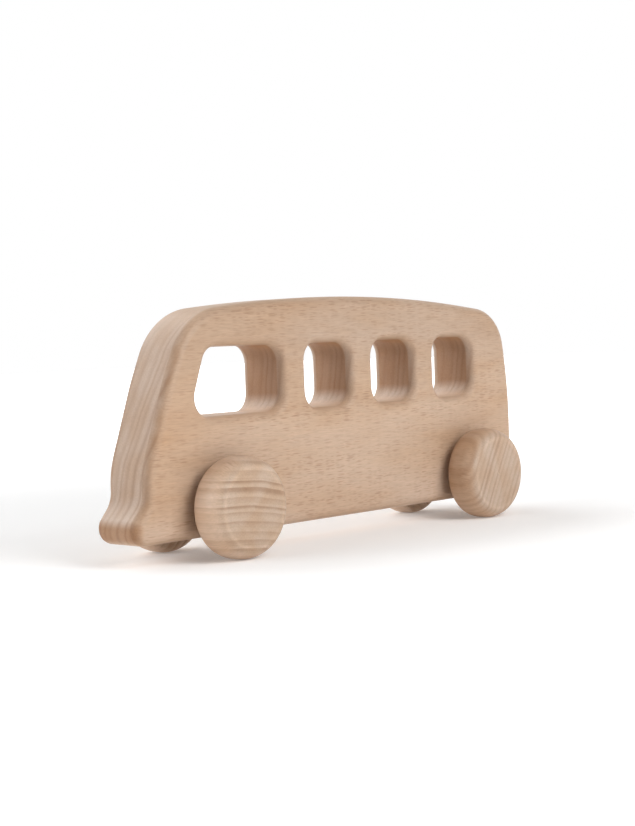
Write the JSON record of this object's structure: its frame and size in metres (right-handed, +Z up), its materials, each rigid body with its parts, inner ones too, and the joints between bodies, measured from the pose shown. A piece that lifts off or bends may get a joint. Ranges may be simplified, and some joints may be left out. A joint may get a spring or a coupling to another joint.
{
  "type": "toy bus",
  "caption": "Wooden push-along toy bus: a thick rounded slab with see-through windows, rolling freely on wooden wheels fixed to through axles.",
  "frame": {"origin": "on the floor under the middle of the bus", "axes": "+X towards the front of the bus, +Y towards its left side, +Z up"},
  "size_m": [0.2328, 0.0618, 0.1008],
  "materials": {
    "slab_beech": "sanded matte beech with short dark flecks",
    "wheel_beech": "turned and sanded matte beech with growth lines",
    "dowel_beech": "sanded matte beech dowel"
  },
  "bodies": {
    "chassis": {"body": "slab_beech"},
    "front_wheelset": {"front_axle": "dowel_beech", "front_left_wheel": "wheel_beech", "front_right_wheel": "wheel_beech"},
    "rear_wheelset": {"rear_axle": "dowel_beech", "rear_left_wheel": "wheel_beech", "rear_right_wheel": "wheel_beech"}
  },
  "joints": [
    {"name": "front_axle_spin", "type": "hinge", "parent": "chassis", "child": "front_wheelset", "pos_m": [0.0729, 0, 0.02], "axis": [0, 1, 0], "continuous": true},
    {"name": "rear_axle_spin", "type": "hinge", "parent": "chassis", "child": "rear_wheelset", "pos_m": [-0.0804, 0, 0.02], "axis": [0, 1, 0], "continuous": true}
  ]
}
